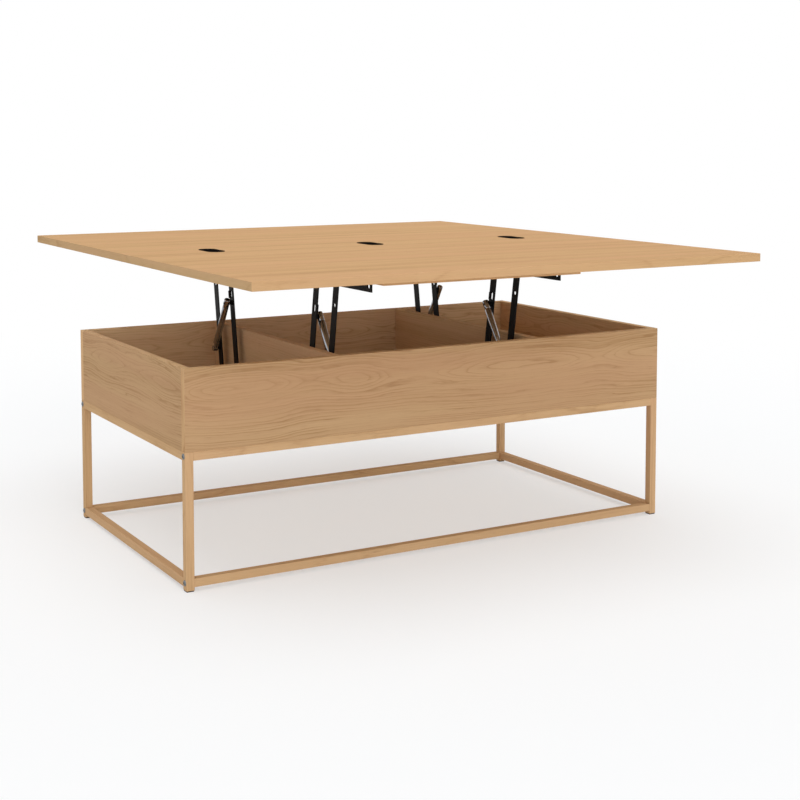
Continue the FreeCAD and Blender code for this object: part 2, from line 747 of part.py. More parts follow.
def hinge_link(label, share):
    """The short bar that turns on the front pin and carries the back leaf's half across the seam."""
    made = body(label)
    x = f"{share} * leaf_length - link_width / 2"
    z = f"{LEAF_TOP} - hinge_pin_depth"
    size = ("link_width", "2 * hinge_pin_offset", "2 * link_radius")
    block(made, size, (x, "-hinge_pin_offset", f"{z} - link_radius"))
    for end in ENDS.values():
        drum(made, "2 * link_radius", "link_width", (x, f"{end} * hinge_pin_offset", z))
    for end in ENDS.values():
        at = (f"{x} - overrun", f"{end} * hinge_pin_offset", z)
        drum(made, "hinge_pin_diameter + hinge_pin_fit", "link_width + 2 * overrun", at, cut=True)
    return made


def hinge_pins(label, share, end):
    """A pin through the link in the front leaf, and a stub either side of the link in the back leaf."""
    middle = f"{share} * leaf_length"
    y = f"{end} * hinge_pin_offset"
    z = f"{LEAF_TOP} - hinge_pin_depth"
    if end < 0:
        length = "(link_width + 2 * hinge_pin_reach)"
        return [pin(label, "hinge_pin_diameter", length, (f"{middle} - {length} / 2", y, z))]
    stubs = []
    for side_name, side in SIDES.items():
        at = (outward(middle, side, "link_width / 2 + link_clearance"), y, z)
        stubs.append(pin(f"{label}_{side_name}", "hinge_pin_diameter", "hinge_pin_reach", at, lying(side)))
    return stubs


def hinge_screws(label, share, end):
    screws = []
    for number, (x, y) in enumerate(hinge_screw_places(share, end), start=1):
        shank_length = "hinge_screw_length - hinge_screw_head_depth"
        shank = pin(
            f"{label}_{number}_shank",
            "hinge_screw_diameter",
            shank_length,
            (x, y, f"{PLATE_TOP} - hinge_screw_length"),
            UPRIGHT,
        )
        head = cone(
            f"{label}_{number}_head",
            "hinge_screw_diameter",
            "hinge_screw_head_diameter",
            "hinge_screw_head_depth",
            (x, y, f"{PLATE_TOP} - hinge_screw_head_depth"),
        )
        screws.append(joined(f"{label}_{number}", [shank, head]))
    return screws


def build_top():
    for end_name, end in ENDS.items():
        leaf(f"{end_name}_leaf", end)
        cups = []
        pins = []
        screws = []
        for number, share in enumerate(HINGE_SHARES, start=1):
            cups.append(hinge_cup(f"{end_name}_hinge_cup_{number}", share, end))
            pins.extend(hinge_pins(f"{end_name}_hinge_pin_{number}", share, end))
            screws.extend(hinge_screws(f"{end_name}_hinge_screw_{number}", share, end))
        group(f"{end_name}_hinge_cups", cups)
        group(f"{end_name}_hinge_pins", pins)
        group(f"{end_name}_hinge_screws", screws)
    numbered_shares = enumerate(HINGE_SHARES, start=1)
    group("hinge_links", [hinge_link(f"hinge_link_{number}", share) for number, share in numbered_shares])
    nose = f"{LIFTS[0].top_bracket_low_y()} - batten_gap - batten_depth"
    board(
        "stiffening_batten",
        ("batten_length", "batten_depth", "batten_thickness"),
        ("-batten_length / 2", nose, f"{LEAF_BOTTOM} - batten_thickness"),
        "panel_edge_round",
    )


def check_and_write():
    doc.recompute()
    for thing in doc.Objects:
        if {"Invalid", "Error"} & set(thing.State):
            raise RuntimeError(f"{thing.Label} failed: {thing.State}")
    for node in nodes:
        if node.Shape.isNull() or not node.Shape.isValid() or not node.Shape.Solids:
            raise RuntimeError(f"{node.Label} has no valid solid")
    os.makedirs("parts", exist_ok=True)
    for node in nodes:
        node.Shape.exportStep(f"parts/{node.Label}.step")


build_frame()
build_box()
build_dividers()
build_lifts()
build_top()
check_and_write()
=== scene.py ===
import json
import math

import bmesh
import bpy
from mathutils import Matrix, Vector


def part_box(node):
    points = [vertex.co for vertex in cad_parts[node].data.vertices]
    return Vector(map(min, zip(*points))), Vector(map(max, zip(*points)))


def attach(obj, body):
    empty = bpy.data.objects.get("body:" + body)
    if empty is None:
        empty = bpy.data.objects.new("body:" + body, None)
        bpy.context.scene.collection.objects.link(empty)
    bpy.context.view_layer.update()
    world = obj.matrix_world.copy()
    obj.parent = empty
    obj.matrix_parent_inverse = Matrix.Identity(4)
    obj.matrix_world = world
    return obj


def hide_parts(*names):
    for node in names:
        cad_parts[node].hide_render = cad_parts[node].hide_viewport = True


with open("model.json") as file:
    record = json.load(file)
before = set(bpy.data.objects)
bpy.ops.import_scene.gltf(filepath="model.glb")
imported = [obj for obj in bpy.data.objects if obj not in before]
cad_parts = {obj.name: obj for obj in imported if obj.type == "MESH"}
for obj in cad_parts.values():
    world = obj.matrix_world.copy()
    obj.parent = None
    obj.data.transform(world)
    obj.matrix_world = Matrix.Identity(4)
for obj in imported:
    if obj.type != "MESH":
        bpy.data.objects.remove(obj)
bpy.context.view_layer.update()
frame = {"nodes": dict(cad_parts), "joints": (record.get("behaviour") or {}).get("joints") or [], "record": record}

# Looks of the convertible coffee table: oak boards and bars, black lift linkages, bright struts and bolts.
# Every piece is in metres in the part's own frame: +Z up, X along the table, the front towards -Y.

NODES = frame["nodes"]
BODIES = frame["record"]["behaviour"]["bodies"]
JOINTS = {joint["name"]: joint for joint in frame["joints"]}
MM = 0.001
# Points closer than this are one point, and sizes closer than the second are one size.
SAME_POINT = 0.001 * MM
SAME_SIZE = 0.02 * MM

SIDES = ("left", "right")
ENDS = ("front", "back")
WHITE = (1.0, 1.0, 1.0, 1.0)


def linear(*bytes_):
    """A colour given as display bytes, as the shaders want it."""
    shares = [byte / 255 for byte in bytes_]
    return (*[s / 12.92 if s <= 0.04045 else ((s + 0.055) / 1.055) ** 2.4 for s in shares], 1.0)


# Shader helpers
def put(tree, socket, value):
    if isinstance(value, bpy.types.NodeSocket):
        tree.links.new(value, socket)
    else:
        socket.default_value = value


def add(tree, kind, inputs=None, **settings):
    made = tree.nodes.new(kind)
    for name, value in settings.items():
        setattr(made, name, value)
    for name, value in (inputs or {}).items():
        put(tree, made.inputs[name], value)
    return made


def maths(tree, operation, *values):
    made = tree.nodes.new("ShaderNodeMath")
    made.operation = operation
    for socket, value in zip(made.inputs, values):
        put(tree, socket, value)
    return made.outputs[0]


def mixed(tree, share, first, second):
    """A number that goes from first to second with the share."""
    made = tree.nodes.new("ShaderNodeMix")
    put(tree, made.inputs[0], share)
    put(tree, made.inputs[2], first)
    put(tree, made.inputs[3], second)
    return made.outputs[0]


def mixed_colour(tree, share, first, second, blend="MIX"):
    made = tree.nodes.new("ShaderNodeMix")
    made.data_type = "RGBA"
    made.blend_type = blend
    put(tree, made.inputs[0], share)
    put(tree, made.inputs[6], first)
    put(tree, made.inputs[7], second)
    return made.outputs[2]


def vector(tree, parts, scales):
    scaled = [maths(tree, "MULTIPLY", part, scale) for part, scale in zip(parts, scales)]
    return add(tree, "ShaderNodeCombineXYZ", dict(zip("XYZ", scaled))).outputs[0]


def noise(tree, place, detail=2.0, roughness=0.5, scale=1.0):
    inputs = {"Vector": place, "Scale": scale, "Detail": detail, "Roughness": roughness}
    return add(tree, "ShaderNodeTexNoise", inputs).outputs[0]


def ramp(tree, share, stops):
    made = add(tree, "ShaderNodeValToRGB", {"Fac": share})
    points = made.color_ramp.elements
    while len(points) < len(stops):
        points.new(1.0)
    for point, (position, value) in zip(points, stops):
        point.position = position
        point.color = value if isinstance(value, tuple) else (value, value, value, 1.0)
    return made.outputs[0]


def new_material(name):
    made = bpy.data.materials.new(name)
    made.use_nodes = True
    return made, made.node_tree, made.node_tree.nodes["Principled BSDF"]


# Oak
OAK_LIGHT = linear(213, 174, 132)
OAK_MIDDLE = linear(205, 166, 123)
OAK_DARK = linear(178, 137, 96)
OAK_ROSY = linear(208, 163, 125)
PORE_TINT = linear(140, 100, 64)
LEAF_TINT = (1.0, 0.985, 0.93, 1.0)
# Painted shade: the panels are darkened and slightly greyed all over, standing in for the shade the leaves'
# overhang casts on them
PANEL_SHADE_TINT = (0.785, 0.805, 0.815, 1.0)
BAR_TINT = (0.92, 0.95, 0.97, 1.0)
# Painted light: the box's inside faces, dividers and floor panel are made paler than the oak, standing in for
# light that barely reaches into the box
INSIDE_LIGHT_TINT = (1.10, 1.22, 1.35, 1.0)
# Painted light and shade on a board's long narrow faces and on its ends: the leaves' edges are darkened as painted
# shade where the lamps hit them hard, and the panels' rims and ends are lightened as painted light against the
# shade of the leaves above
LEAF_EDGE_SHADE = ((0.92, 0.94, 0.96, 1.0), (0.82, 0.87, 0.91, 1.0))
PANEL_EDGE_LIGHT = ((1.44, 1.60, 1.70, 1.0), (1.22, 1.22, 1.20, 1.0))
# How much the rings, with more where the figure is plain-sawn, the streaks, fibres and pores darken the wood
RING_SHARE = 0.24
FIGURE_SHARE = 0.32
STREAK_SHARE = 0.72
FIBRE_SHARE = 0.46
PORE_SHARE = 0.42
# Pores are thickest in the dark part of a ring, and the rest are everywhere.
RING_PORES = 0.7
EVEN_PORES = 0.3
TONE_STOPS = [(0.36, OAK_LIGHT), (0.62, OAK_MIDDLE), (1.0, OAK_DARK)]
ROSY_STOPS = [(0.42, 0.0), (0.66, 0.55)]
RING_STOPS = [(0.0, 0.3), (0.07, 1.0), (0.20, 0.40), (0.55, 0.05), (0.92, 0.05), (1.0, 0.3)]
PATCH_STOPS = [(0.32, 0.15), (0.66, 1.0)]
PORE_STOPS = [(0.60, 0.0), (0.72, 1.0)]
# Year rings, and the arches where they meet the face
RING_SPACING = 6.5 * MM
ARCH_ROUND = 9.0 * MM
ARCH_REACH = 38.0 * MM
ARCH_SWELL = 0.14
RING_SWAY = 0.05
RING_RIPPLE = 1.1
RING_UNEVEN = 3.0
# How fast each pattern changes, per metre along the grain, across it and through the board
WANDER_RATE = (1.5, 5.0, 5.0)
SWELL_RATE = (3.4, 0.0, 0.0)
RIPPLE_RATE = (13.0, 80.0, 80.0)
PATCH_RATE = (4.0, 16.0, 16.0)
STREAK_RATE = (0.8, 30.0, 30.0)
ROSY_RATE = (1.1, 17.0, 17.0)
FIBRE_RATE = (8.0, 480.0, 480.0)
PORE_RATE = (42.0, 1100.0, 1100.0)
# How fast the rings' spacing changes, per metre across them
UNEVEN_RATE = (75.0, 0.0, 0.0)
# How far the next board's cut lies along the log and through it, in metres
CUT_RUN = 3.71
CUT_DEPTH = 1.37
# The part of a face's normal along an axis from which the face counts as looking that way
LOOKS_ALONG = 0.7
OAK_ROUGHNESS = 0.64
FIBRE_ROUGHNESS = 0.16
PORE_ROUGHNESS = 0.15
OAK_GLOSS = 0.015


def oak(name, grain, figure, seed, pith=0.0, tint=LEAF_TINT, inside=0, edge_light_and_shade=None):
    """Satin oak whose grain runs along the first of the three axes in grain.

    The second axis lies across the board's face, and the third through its thickness. A figure of 1 is
    plain-sawn, with long nested arches along the pith line, and 0 is rift-sawn, with straight grain. The seed
    picks the board's cut from the log. On end faces the grain runs along the edge, as on edge banding. The
    face that looks inside +1 or -1 along the third axis takes the pale inside tint, painted light for the
    box's dim inside. The narrow faces are multiplied by the edge tints, first the long ones, then the ends:
    painted shade where a tint is below one, painted light where it is above one.
    """
    made, tree, shader = new_material(name)
    coordinates = tree.nodes.new("ShaderNodeTexCoord")
    place = add(tree, "ShaderNodeSeparateXYZ", {"Vector": coordinates.outputs["Object"]}).outputs
    facing = add(tree, "ShaderNodeSeparateXYZ", {"Vector": coordinates.outputs["Normal"]}).outputs
    along, across, through = (place["XYZ".index(axis)] for axis in grain)
    towards_end, _, towards_face = (facing["XYZ".index(axis)] for axis in grain)
    end_face = maths(tree, "GREATER_THAN", maths(tree, "ABSOLUTE", towards_end), LOOKS_ALONG)
    run = maths(tree, "ADD", mixed(tree, end_face, along, across), seed * CUT_RUN)
    wide = mixed(tree, end_face, across, along)
    parts = (run, wide, maths(tree, "ADD", through, seed * CUT_DEPTH))

    # Year rings: straight lines beside the pith line, and arches where the log swells and narrows along it
    wander = noise(tree, vector(tree, parts, WANDER_RATE), 2.0)
    sway = maths(tree, "MULTIPLY", maths(tree, "SUBTRACT", wander, 0.5), RING_SWAY)
    offset = maths(tree, "ADD", maths(tree, "SUBTRACT", wide, pith), sway)
    squared = maths(tree, "MULTIPLY", offset, offset)
    radius = maths(tree, "SQRT", maths(tree, "ADD", squared, ARCH_ROUND**2))
    swell = maths(tree, "SUBTRACT", noise(tree, vector(tree, parts, SWELL_RATE), 1.0), 0.5)
    nearness = maths(tree, "DIVIDE", ARCH_REACH**2, maths(tree, "ADD", squared, ARCH_REACH**2))
    arch = maths(tree, "MULTIPLY", maths(tree, "MULTIPLY", swell, nearness), ARCH_SWELL * figure)
    ring_place = maths(tree, "ADD", mixed(tree, figure, offset, radius), arch)
    ripple = maths(tree, "MULTIPLY", noise(tree, vector(tree, parts, RIPPLE_RATE), 2.0), RING_RIPPLE)
    spread = noise(tree, vector(tree, (ring_place,) * 3, UNEVEN_RATE), 1.0)
    uneven = maths(tree, "MULTIPLY", spread, RING_UNEVEN)
    rings = maths(tree, "MULTIPLY_ADD", ring_place, 1.0 / RING_SPACING, maths(tree, "ADD", ripple, uneven))
    ring_tone = ramp(tree, maths(tree, "FRACT", rings), RING_STOPS)
    patches = noise(tree, vector(tree, parts, PATCH_RATE), 2.0)
    ring_tone = maths(tree, "MULTIPLY", ring_tone, ramp(tree, patches, PATCH_STOPS))

    # Broad streaks, fibres and short dark pores along the grain
    streaks = noise(tree, vector(tree, parts, STREAK_RATE), 3.0)
    rosy = noise(tree, vector(tree, parts, ROSY_RATE), 2.0)
    fibres = noise(tree, vector(tree, parts, FIBRE_RATE), 3.0, 0.6)
    pores = ramp(tree, noise(tree, vector(tree, parts, PORE_RATE), 1.0), PORE_STOPS)
    pores = maths(tree, "MULTIPLY", pores, maths(tree, "MULTIPLY_ADD", ring_tone, RING_PORES, EVEN_PORES))

    tone = maths(tree, "MULTIPLY", ring_tone, RING_SHARE + FIGURE_SHARE * figure)
    tone = maths(tree, "MULTIPLY_ADD", streaks, STREAK_SHARE, tone)
    tone = maths(tree, "MULTIPLY_ADD", fibres, FIBRE_SHARE, tone)
    colour = ramp(tree, tone, TONE_STOPS)
    colour = mixed_colour(tree, ramp(tree, rosy, ROSY_STOPS), colour, OAK_ROSY)
    colour = mixed_colour(tree, maths(tree, "MULTIPLY", pores, PORE_SHARE), colour, PORE_TINT)
    # Painted light: faces that look into the box take the pale inside tint
    inward = maths(tree, "MULTIPLY", towards_face, float(inside))
    painted_inside_light = maths(tree, "GREATER_THAN", inward, LOOKS_ALONG)
    colour = mixed_colour(tree, 1.0, colour, mixed_colour(tree, painted_inside_light, tint, INSIDE_LIGHT_TINT), "MULTIPLY")
    # Painted shade on the leaves' narrow faces, and painted light on the panels' rims and ends
    if edge_light_and_shade:
        narrow = maths(tree, "LESS_THAN", maths(tree, "ABSOLUTE", towards_face), LOOKS_ALONG)
        colour = mixed_colour(tree, narrow, colour, mixed_colour(tree, end_face, *edge_light_and_shade), "MULTIPLY")
    put(tree, shader.inputs["Base Color"], colour)

    rough = maths(tree, "MULTIPLY_ADD", fibres, FIBRE_ROUGHNESS, OAK_ROUGHNESS)
    put(tree, shader.inputs["Roughness"], maths(tree, "MULTIPLY_ADD", pores, PORE_ROUGHNESS, rough))
    height = maths(tree, "SUBTRACT", maths(tree, "MULTIPLY", fibres, 0.5), pores)
    bump = add(tree, "ShaderNodeBump", {"Strength": 0.14, "Distance": 0.0004, "Height": height})
    put(tree, shader.inputs["Normal"], bump.outputs[0])
    shader.inputs["Specular IOR Level"].default_value = OAK_GLOSS
    return made


# Metals and rubber
STEEL_STOPS = [(0.3, linear(15, 14, 14)), (0.7, linear(23, 22, 21))]
STEEL_WORN = linear(44, 42, 41)
WEAR_REACH = 0.6 * MM
WEAR_STOPS = [(0.70, 1.0), (0.97, 0.0)]
WEAR_PATCH_STOPS = [(0.35, 0.2), (0.65, 1.0)]
RUBBER_STOPS = [(0.3, linear(40, 37, 34)), (0.7, linear(58, 54, 50))]
RUBBER_ROUGHNESS = 0.65
# How fast each pattern changes, per metre
WEAR_RATE = 260.0
MOTTLE_RATE = 55.0
SKIN_RATE = 1900.0
CLOUD_RATE = 120.0
GRAIN_RATE = 900.0
# How much each pattern adds to the roughness
MOTTLE_ROUGHNESS = 0.22
MARK_ROUGHNESS = 0.14
CLOUD_ROUGHNESS = 0.08
GRAIN_ROUGHNESS = 0.2


def edge_wear(tree, radius):
    """One on worn edges, nought on flat faces, broken up by fine noise."""
    rounded = add(tree, "ShaderNodeBevel", {"Radius": radius}, samples=4).outputs[0]
    flat = tree.nodes.new("ShaderNodeNewGeometry").outputs["Normal"]
    match = add(tree, "ShaderNodeVectorMath", operation="DOT_PRODUCT")
    tree.links.new(rounded, match.inputs[0])
    tree.links.new(flat, match.inputs[1])
    edge = ramp(tree, match.outputs["Value"], WEAR_STOPS)
    place = tree.nodes.new("ShaderNodeTexCoord").outputs["Object"]
    patches = ramp(tree, noise(tree, place, 3.0, 0.6, WEAR_RATE), WEAR_PATCH_STOPS)
    return maths(tree, "MULTIPLY", edge, patches)


def black_steel(name, roughness, gloss):
    """Powder-coated steel, as rough as given or more: orange-peel skin, dusty mottling and greyer edges."""
    made, tree, shader = new_material(name)
    place = tree.nodes.new("ShaderNodeTexCoord").outputs["Object"]
    mottle = noise(tree, place, 4.0, 0.6, MOTTLE_RATE)
    skin = noise(tree, place, 2.0, 0.5, SKIN_RATE)
    colour = ramp(tree, mottle, STEEL_STOPS)
    colour = mixed_colour(tree, edge_wear(tree, WEAR_REACH), colour, STEEL_WORN)
    put(tree, shader.inputs["Base Color"], colour)
    put(tree, shader.inputs["Roughness"], maths(tree, "MULTIPLY_ADD", mottle, MOTTLE_ROUGHNESS, roughness))
    bump = add(tree, "ShaderNodeBump", {"Strength": 0.22, "Distance": 0.0002, "Height": skin})
    put(tree, shader.inputs["Normal"], bump.outputs[0])
    shader.inputs["Specular IOR Level"].default_value = gloss
    return made


def plated_metal(name, light, dark, roughness, streak):
    """Plated steel, as rough as given or more, with faint drawing marks and cloudy wear."""
    made, tree, shader = new_material(name)
    place = tree.nodes.new("ShaderNodeTexCoord").outputs["Object"]
    clouds = noise(tree, place, 4.0, 0.6, CLOUD_RATE)
    marks = noise(tree, add(tree, "ShaderNodeMapping", {"Vector": place, "Scale": streak}).outputs[0], 3.0)
    colour = ramp(tree, clouds, [(0.3, light), (0.75, dark)])
    put(tree, shader.inputs["Base Color"], colour)
    shader.inputs["Metallic"].default_value = 1.0
    rough = maths(tree, "MULTIPLY_ADD", marks, MARK_ROUGHNESS, roughness)
    put(tree, shader.inputs["Roughness"], maths(tree, "MULTIPLY_ADD", clouds, CLOUD_ROUGHNESS, rough))
    bump = add(tree, "ShaderNodeBump", {"Strength": 0.04, "Distance": 0.0001, "Height": marks})
    put(tree, shader.inputs["Normal"], bump.outputs[0])
    return made


def foot_rubber(name):
    made, tree, shader = new_material(name)
    place = tree.nodes.new("ShaderNodeTexCoord").outputs["Object"]
    grain = noise(tree, place, 3.0, 0.6, GRAIN_RATE)
    put(tree, shader.inputs["Base Color"], ramp(tree, grain, RUBBER_STOPS))
    rough = maths(tree, "MULTIPLY_ADD", grain, GRAIN_ROUGHNESS, RUBBER_ROUGHNESS)
    put(tree, shader.inputs["Roughness"], rough)
    bump = add(tree, "ShaderNodeBump", {"Strength": 0.3, "Distance": 0.0002, "Height": grain})
    put(tree, shader.inputs["Normal"], bump.outputs[0])
    return made


BLACK = black_steel("black_steel", roughness=0.42, gloss=0.10)
HINGE_BLACK = black_steel("hinge_black", roughness=0.52, gloss=0.0)
CHROME_TONES = (linear(174, 178, 184), linear(162, 166, 172))
CHROME = plated_metal("strut_chrome", *CHROME_TONES, roughness=0.07, streak=(300.0, 300.0, 20.0))
ZINC_TONES = (linear(132, 136, 138), linear(106, 109, 112))
ZINC = plated_metal("bolt_zinc", *ZINC_TONES, roughness=0.33, streak=(300.0, 300.0, 300.0))
RUBBER = foot_rubber("foot_rubber")


def dress(node, material):
    mesh = NODES[node].data
    mesh.materials.clear()
    mesh.materials.append(material)


# How far the middle of the panels' figure lies below the box's rim
PITH_DEPTH = 45.0 * MM
BAR_FIGURE = 0.1
BAR_SEED = 11
BAR_GRAINS = {"x": "XYZ", "y": "YXZ", "z": "ZXY"}


def dress_wood():
    """Each board gets its own cut of oak, and bars that run the same way share one."""
    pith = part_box("front_panel")[1].z - PITH_DEPTH
    boards = {
        "front_leaf": ("XYZ", 0.0, 1, 0.0, LEAF_TINT, 0, LEAF_EDGE_SHADE),
        "back_leaf": ("XYZ", 0.0, 2, 0.0, LEAF_TINT, 0, LEAF_EDGE_SHADE),
        # Panels carry painted shade in their tint, and painted light on their inside faces and edges
        "front_panel": ("XZY", 1.0, 3, pith, PANEL_SHADE_TINT, 1, PANEL_EDGE_LIGHT),
        "back_panel": ("XZY", 1.0, 4, pith, PANEL_SHADE_TINT, -1, PANEL_EDGE_LIGHT),
        "left_end_panel": ("YZX", 1.0, 5, pith, PANEL_SHADE_TINT, 1, PANEL_EDGE_LIGHT),
        "right_end_panel": ("YZX", 1.0, 6, pith, PANEL_SHADE_TINT, -1, PANEL_EDGE_LIGHT),
        # The dividers and floor panel take the inside tint all over, as painted light
        "left_divider": ("YZX", 0.3, 7, 0.0, INSIDE_LIGHT_TINT),
        "right_divider": ("YZX", 0.3, 8, 0.0, INSIDE_LIGHT_TINT),
        "floor_panel": ("XYZ", 0.1, 9, 0.0, INSIDE_LIGHT_TINT),
        "stiffening_batten": ("XYZ", 0.1, 10),
    }
    for name, cut in boards.items():
        dress(name, oak(f"oak_{name}", *cut))
    bars = {}
    for axis, grain in BAR_GRAINS.items():
        bars[axis] = oak(f"oak_bar_{axis}", grain, BAR_FIGURE, BAR_SEED, tint=BAR_TINT)
    for node in BODIES["base"]:
        if node.endswith("_leg"):
            dress(node, bars["z"])
        elif node.endswith(("front_rail", "back_rail")):
            dress(node, bars["x"])
        elif node.endswith("_rail"):
            dress(node, bars["y"])


ARM_EASE = 0.5 * MM
PLATE_EASE = 0.3 * MM
FLAT_WITHIN = math.radians(1.0)
EASED_FROM = math.radians(40.0)


def ease_edges(node, width):
    """Breaks a pressed part's sharp edges with a small round, in modifiers that leave its mesh alone."""
    obj = NODES[node]
    weld = obj.modifiers.new("weld", "WELD")
    weld.merge_threshold = SAME_SIZE
    flat = obj.modifiers.new("flat_faces", "DECIMATE")
    flat.decimate_type = "DISSOLVE"
    flat.angle_limit = FLAT_WITHIN
    bevel = obj.modifiers.new("eased_edges", "BEVEL")
    bevel.width = width
    bevel.segments = 2
    bevel.limit_method = "ANGLE"
    bevel.angle_limit = EASED_FROM
    normals = obj.modifiers.new("even_shading", "WEIGHTED_NORMAL")
    normals.keep_sharp = False


def dress_metal():
    for members in BODIES.values():
        for node in members:
            if node.endswith(("_arm", "_bracket")):
                dress(node, BLACK)
                ease_edges(node, ARM_EASE)
            elif node.endswith("_cups"):
                dress(node, HINGE_BLACK)
                ease_edges(node, PLATE_EASE)
            elif node.endswith("_links"):
                dress(node, HINGE_BLACK)
            elif node.endswith(("_tube", "_rods")):
                dress(node, CHROME)
            elif node.endswith(("_rivets", "_pins", "_screws")):
                dress(node, BLACK)
            elif node == "frame_bolts":
                dress(node, ZINC)
            elif node == "foot_pads":
                dress(node, RUBBER)


dress_wood()
dress_metal()


# Shapes for the turned small parts
ROUND_STEPS = 32
DOME_STEPS = 5
SHARP_FROM = math.radians(35.0)


def revolved(profile):
    """A closed solid turned about Z, from points of radius and height that begin and end on the axis."""
    made = bmesh.new()
    rings = []
    for radius, height in profile:
        turns = [2 * math.pi * step / ROUND_STEPS for step in range(ROUND_STEPS if radius else 1)]
        rings.append([made.verts.new((radius * math.cos(t), radius * math.sin(t), height)) for t in turns])
    for lower, upper in zip(rings, rings[1:]):
        for step in range(ROUND_STEPS):
            corners = [lower[step % len(lower)], lower[(step + 1) % len(lower)]]
            corners += [upper[(step + 1) % len(upper)], upper[step % len(upper)]]
            made.faces.new(list(dict.fromkeys(corners)))
    bmesh.ops.recalc_face_normals(made, faces=made.faces)
    return made


def domed(radius, low, high, rim):
    """Points from the foot of a low domed head, over its short upright rim, to its crown on the axis."""
    turns = [math.pi / 2 * step / DOME_STEPS for step in range(DOME_STEPS)]
    rise = high - low - rim
    crown = [(radius * math.cos(t), low + rim + rise * math.sin(t)) for t in turns]
    return [(radius, low), *crown, (0.0, high)]


def prism(outline, low, high, low_share=1.0):
    """A prism along Z, whose low end is low_share of the outline."""
    made = bmesh.new()
    bottom = [made.verts.new((x * low_share, y * low_share, low)) for x, y in outline]
    top = [made.verts.new((x, y, high)) for x, y in outline]
    made.faces.new(bottom)
    made.faces.new(top)
    for step in range(len(outline)):
        following = (step + 1) % len(outline)
        made.faces.new((bottom[step], bottom[following], top[following], top[step]))
    bmesh.ops.recalc_face_normals(made, faces=made.faces)
    return made


def polygon(radius, count):
    turns = [2 * math.pi * step / count for step in range(count)]
    return [(radius * math.cos(t), radius * math.sin(t)) for t in turns]


def cross(reach, wing):
    """Outline of a cross recess, whose wings are reach long from the middle."""
    quarter = [(reach, -wing / 2), (reach, wing / 2), (wing / 2, wing / 2)]
    turns = [Matrix.Rotation(math.pi / 2 * step, 2) for step in range(4)]
    return [tuple(turn @ Vector(point)) for turn in turns for point in quarter]


def carved(solid, cutter):
    """The solid with the cutter taken out of it."""
    objects = []
    for shape in (solid, cutter):
        mesh = bpy.data.meshes.new("carving")
        shape.to_mesh(mesh)
        shape.free()
        objects.append(bpy.data.objects.new("carving", mesh))
        bpy.context.scene.collection.objects.link(objects[-1])
    cut = objects[0].modifiers.new("cut", "BOOLEAN")
    cut.object = objects[1]
    cut.solver = "EXACT"
    ready = objects[0].evaluated_get(bpy.context.evaluated_depsgraph_get())
    result = bmesh.new()
    result.from_mesh(ready.to_mesh())
    ready.to_mesh_clear()
    for made in objects:
        mesh = made.data
        bpy.data.objects.remove(made)
        bpy.data.meshes.remove(mesh)
    return result


def piece(name, shapes, material, body, node):
    """The shapes as one piece of the scene, which rides on a body and stands for a node."""
    mesh = bpy.data.meshes.new(name)
    whole = bmesh.new()
    for shape in shapes:
        shape.to_mesh(mesh)
        shape.free()
        whole.from_mesh(mesh)
    whole.to_mesh(mesh)
    whole.free()
    mesh.polygons.foreach_set("use_smooth", [True] * len(mesh.polygons))
    mesh.set_sharp_from_angle(angle=SHARP_FROM)
    mesh.materials.append(material)
    made = bpy.data.objects.new(name, mesh)
    bpy.context.scene.collection.objects.link(made)
    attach(made, body)
    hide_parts(node)


# Small parts, each measured on the solid that it stands for
X_AXIS = Vector((1.0, 0.0, 0.0))
Z_AXIS = Vector((0.0, 0.0, 1.0))
# Upright rims under the domed heads
BOLT_RIM = 0.3 * MM
RIVET_RIM = 0.6 * MM
SCREW_RIM = 0.7 * MM
# Height of the dome on a plain stop pin
PIN_CROWN = 1.0 * MM
# Sockets and cross recesses: widths as shares of the head, and depths
SOCKET_SHARE = 0.42
SOCKET_DEPTH = 1.5 * MM
PAN_CROSS_SHARE = 0.60
PAN_CROSS_DEPTH = 1.3 * MM
SUNK_CROSS_SHARE = 0.58
SUNK_CROSS_DEPTH = 1.2 * MM
CROSS_WING = 0.9 * MM
CROSS_TAPER = 0.45
CROSS_OVERRUN = 0.5 * MM
SOCKET_OVERRUN = 1.0 * MM
SCREW_POINT = 2.5 * MM
SUNK_EASE = 0.15 * MM
# Points nearer the axis than this belong to no shank.
LEAST_SHANK = 0.5 * MM


def solids_of(node):
    """The points of each separate solid in a node."""
    copy = bmesh.new()
    copy.from_mesh(NODES[node].data)
    bmesh.ops.remove_doubles(copy, verts=copy.verts, dist=SAME_POINT)
    left = set(copy.verts)
    found = []
    while left:
        group = [left.pop()]
        for vertex in group:
            near = {edge.other_vert(vertex) for edge in vertex.link_edges} & left
            left -= near
            group.extend(near)
        found.append([vertex.co.copy() for vertex in group])
    copy.free()
    return found


def along_axis(points, axis):
    """Where the centre line passes the origin, and the points' heights along it and distances from it."""
    heights = [point.dot(axis) for point in points]
    flat = [point - axis * height for point, height in zip(points, heights)]
    low, high = ([pick(point[i] for point in flat) for i in range(3)] for pick in (min, max))
    centre = (Vector(low) + Vector(high)) / 2
    return centre, heights, [(point - centre).length for point in flat]


